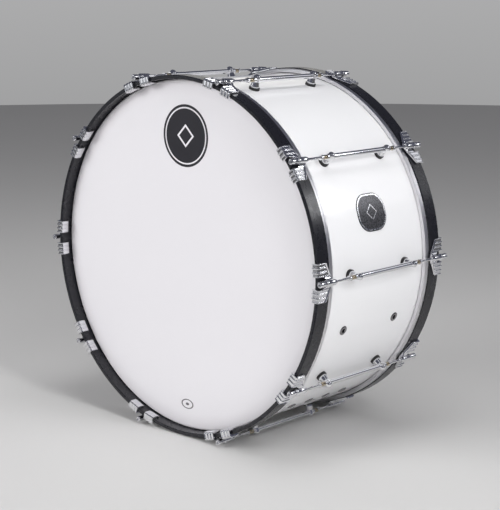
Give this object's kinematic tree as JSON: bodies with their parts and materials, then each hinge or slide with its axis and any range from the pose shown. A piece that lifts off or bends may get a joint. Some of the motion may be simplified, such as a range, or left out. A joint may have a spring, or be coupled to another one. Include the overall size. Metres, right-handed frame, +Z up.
{
  "type": "marching bass drum",
  "caption": "Two-headed bass drum with laminated white shell, black wooden hoops, claw hooks, tension rods and tube lugs.",
  "frame": {"origin": "on the floor under the middle of the drum, at the bottom centre of the bounding box", "axes": "drum axis along Y with the batter head facing -Y; +X to the right seen from the batter side; +Z up"},
  "size_m": [0.8272, 0.4256, 0.7874],
  "materials": {
    "shell_wood": "maple laminate, gloss white outside, clear-sealed maple inside and on the bearing edges",
    "hoop_wood": "bent maple hoop in satin black lacquer",
    "flesh_aluminium": "satin extruded aluminium",
    "head_film": "smooth white polyester film",
    "chrome_casting": "polished chrome plate",
    "rod_chrome": "chrome plated steel",
    "black_rubber": "matt black rubber",
    "insert_brass": "turned brass",
    "zinc_steel": "zinc plated steel",
    "eyelet_steel": "black-nickel plated",
    "badge_metal": "cast plate, dark grey field and bright rim"
  },
  "bodies": {
    "shell_assembly": {"shell": "shell_wood", "lug_gaskets": "black_rubber", "lug_posts": "chrome_casting", "lug_tubes": "chrome_casting", "lug_inserts": "insert_brass", "lug_screws": "zinc_steel", "lug_washers": "zinc_steel", "eyelets": "eyelet_steel", "eyelet_nuts": "zinc_steel", "badge": "badge_metal"},
    "batter_end": {"batter_hoop": "hoop_wood", "batter_flesh_hoop": "flesh_aluminium", "batter_head": "head_film", "batter_claws": "chrome_casting", "batter_claw_liners": "black_rubber", "batter_rod_washers": "zinc_steel"},
    "batter_rod_01_body": {"batter_rod_01": "rod_chrome"},
    "batter_rod_02_body": {"batter_rod_02": "rod_chrome"},
    "batter_rod_03_body": {"batter_rod_03": "rod_chrome"},
    "batter_rod_04_body": {"batter_rod_04": "rod_chrome"},
    "batter_rod_05_body": {"batter_rod_05": "rod_chrome"},
    "batter_rod_06_body": {"batter_rod_06": "rod_chrome"},
    "batter_rod_07_body": {"batter_rod_07": "rod_chrome"},
    "batter_rod_08_body": {"batter_rod_08": "rod_chrome"},
    "batter_rod_09_body": {"batter_rod_09": "rod_chrome"},
    "batter_rod_10_body": {"batter_rod_10": "rod_chrome"},
    "resonant_end": {"resonant_hoop": "hoop_wood", "resonant_flesh_hoop": "flesh_aluminium", "resonant_head": "head_film", "resonant_claws": "chrome_casting", "resonant_claw_liners": "black_rubber", "resonant_rod_washers": "zinc_steel"},
    "resonant_rod_01_body": {"resonant_rod_01": "rod_chrome"},
    "resonant_rod_02_body": {"resonant_rod_02": "rod_chrome"},
    "resonant_rod_03_body": {"resonant_rod_03": "rod_chrome"},
    "resonant_rod_04_body": {"resonant_rod_04": "rod_chrome"},
    "resonant_rod_05_body": {"resonant_rod_05": "rod_chrome"},
    "resonant_rod_06_body": {"resonant_rod_06": "rod_chrome"},
    "resonant_rod_07_body": {"resonant_rod_07": "rod_chrome"},
    "resonant_rod_08_body": {"resonant_rod_08": "rod_chrome"},
    "resonant_rod_09_body": {"resonant_rod_09": "rod_chrome"},
    "resonant_rod_10_body": {"resonant_rod_10": "rod_chrome"}
  },
  "joints": [
    {"name": "batter_hoop_slide", "type": "slide", "parent": "shell_assembly", "child": "batter_end", "axis": [0, -1, 0], "range_m": [0, 0.01058]},
    {"name": "batter_rod_01_turn", "type": "hinge", "parent": "batter_end", "child": "batter_rod_01_body", "pos_m": [0.402, -0.15, 0.39372], "axis": [0, -1, 0], "range_deg": [0, 3600.5]},
    {"name": "batter_rod_02_turn", "type": "hinge", "parent": "batter_end", "child": "batter_rod_02_body", "pos_m": [0.32522, -0.15, 0.63001], "axis": [0, -1, 0], "range_deg": [0, 3600.5]},
    {"name": "batter_rod_03_turn", "type": "hinge", "parent": "batter_end", "child": "batter_rod_03_body", "pos_m": [0.12423, -0.15, 0.77604], "axis": [0, -1, 0], "range_deg": [0, 3600.5]},
    {"name": "batter_rod_04_turn", "type": "hinge", "parent": "batter_end", "child": "batter_rod_04_body", "pos_m": [-0.12423, -0.15, 0.77604], "axis": [0, -1, 0], "range_deg": [0, 3600.5]},
    {"name": "batter_rod_05_turn", "type": "hinge", "parent": "batter_end", "child": "batter_rod_05_body", "pos_m": [-0.32522, -0.15, 0.63001], "axis": [0, -1, 0], "range_deg": [0, 3600.5]},
    {"name": "batter_rod_06_turn", "type": "hinge", "parent": "batter_end", "child": "batter_rod_06_body", "pos_m": [-0.402, -0.15, 0.39372], "axis": [0, -1, 0], "range_deg": [0, 3600.5]},
    {"name": "batter_rod_07_turn", "type": "hinge", "parent": "batter_end", "child": "batter_rod_07_body", "pos_m": [-0.32522, -0.15, 0.15743], "axis": [0, -1, 0], "range_deg": [0, 3600.5]},
    {"name": "batter_rod_08_turn", "type": "hinge", "parent": "batter_end", "child": "batter_rod_08_body", "pos_m": [-0.12423, -0.15, 0.01139], "axis": [0, -1, 0], "range_deg": [0, 3600.5]},
    {"name": "batter_rod_09_turn", "type": "hinge", "parent": "batter_end", "child": "batter_rod_09_body", "pos_m": [0.12423, -0.15, 0.01139], "axis": [0, -1, 0], "range_deg": [0, 3600.5]},
    {"name": "batter_rod_10_turn", "type": "hinge", "parent": "batter_end", "child": "batter_rod_10_body", "pos_m": [0.32522, -0.15, 0.15743], "axis": [0, -1, 0], "range_deg": [0, 3600.5]},
    {"name": "resonant_hoop_slide", "type": "slide", "parent": "shell_assembly", "child": "resonant_end", "axis": [0, 1, 0], "range_m": [0, 0.01058]},
    {"name": "resonant_rod_01_turn", "type": "hinge", "parent": "resonant_end", "child": "resonant_rod_01_body", "pos_m": [0.402, 0.15, 0.39372], "axis": [0, 1, 0], "range_deg": [0, 3600.5]},
    {"name": "resonant_rod_02_turn", "type": "hinge", "parent": "resonant_end", "child": "resonant_rod_02_body", "pos_m": [0.32522, 0.15, 0.63001], "axis": [0, 1, 0], "range_deg": [0, 3600.5]},
    {"name": "resonant_rod_03_turn", "type": "hinge", "parent": "resonant_end", "child": "resonant_rod_03_body", "pos_m": [0.12423, 0.15, 0.77604], "axis": [0, 1, 0], "range_deg": [0, 3600.5]},
    {"name": "resonant_rod_04_turn", "type": "hinge", "parent": "resonant_end", "child": "resonant_rod_04_body", "pos_m": [-0.12423, 0.15, 0.77604], "axis": [0, 1, 0], "range_deg": [0, 3600.5]},
    {"name": "resonant_rod_05_turn", "type": "hinge", "parent": "resonant_end", "child": "resonant_rod_05_body", "pos_m": [-0.32522, 0.15, 0.63001], "axis": [0, 1, 0], "range_deg": [0, 3600.5]},
    {"name": "resonant_rod_06_turn", "type": "hinge", "parent": "resonant_end", "child": "resonant_rod_06_body", "pos_m": [-0.402, 0.15, 0.39372], "axis": [0, 1, 0], "range_deg": [0, 3600.5]},
    {"name": "resonant_rod_07_turn", "type": "hinge", "parent": "resonant_end", "child": "resonant_rod_07_body", "pos_m": [-0.32522, 0.15, 0.15743], "axis": [0, 1, 0], "range_deg": [0, 3600.5]},
    {"name": "resonant_rod_08_turn", "type": "hinge", "parent": "resonant_end", "child": "resonant_rod_08_body", "pos_m": [-0.12423, 0.15, 0.01139], "axis": [0, 1, 0], "range_deg": [0, 3600.5]},
    {"name": "resonant_rod_09_turn", "type": "hinge", "parent": "resonant_end", "child": "resonant_rod_09_body", "pos_m": [0.12423, 0.15, 0.01139], "axis": [0, 1, 0], "range_deg": [0, 3600.5]},
    {"name": "resonant_rod_10_turn", "type": "hinge", "parent": "resonant_end", "child": "resonant_rod_10_body", "pos_m": [0.32522, 0.15, 0.15743], "axis": [0, 1, 0], "range_deg": [0, 3600.5]}
  ],
  "couplings": [
    {"joint": "batter_rod_01_turn", "follows": "batter_hoop_slide", "rad_per_m": 5936.9},
    {"joint": "batter_rod_02_turn", "follows": "batter_hoop_slide", "rad_per_m": 5936.9},
    {"joint": "batter_rod_03_turn", "follows": "batter_hoop_slide", "rad_per_m": 5936.9},
    {"joint": "batter_rod_04_turn", "follows": "batter_hoop_slide", "rad_per_m": 5936.9},
    {"joint": "batter_rod_05_turn", "follows": "batter_hoop_slide", "rad_per_m": 5936.9},
    {"joint": "batter_rod_06_turn", "follows": "batter_hoop_slide", "rad_per_m": 5936.9},
    {"joint": "batter_rod_07_turn", "follows": "batter_hoop_slide", "rad_per_m": 5936.9},
    {"joint": "batter_rod_08_turn", "follows": "batter_hoop_slide", "rad_per_m": 5936.9},
    {"joint": "batter_rod_09_turn", "follows": "batter_hoop_slide", "rad_per_m": 5936.9},
    {"joint": "batter_rod_10_turn", "follows": "batter_hoop_slide", "rad_per_m": 5936.9},
    {"joint": "resonant_rod_01_turn", "follows": "resonant_hoop_slide", "rad_per_m": 5936.9},
    {"joint": "resonant_rod_02_turn", "follows": "resonant_hoop_slide", "rad_per_m": 5936.9},
    {"joint": "resonant_rod_03_turn", "follows": "resonant_hoop_slide", "rad_per_m": 5936.9},
    {"joint": "resonant_rod_04_turn", "follows": "resonant_hoop_slide", "rad_per_m": 5936.9},
    {"joint": "resonant_rod_05_turn", "follows": "resonant_hoop_slide", "rad_per_m": 5936.9},
    {"joint": "resonant_rod_06_turn", "follows": "resonant_hoop_slide", "rad_per_m": 5936.9},
    {"joint": "resonant_rod_07_turn", "follows": "resonant_hoop_slide", "rad_per_m": 5936.9},
    {"joint": "resonant_rod_08_turn", "follows": "resonant_hoop_slide", "rad_per_m": 5936.9},
    {"joint": "resonant_rod_09_turn", "follows": "resonant_hoop_slide", "rad_per_m": 5936.9},
    {"joint": "resonant_rod_10_turn", "follows": "resonant_hoop_slide", "rad_per_m": 5936.9}
  ]
}
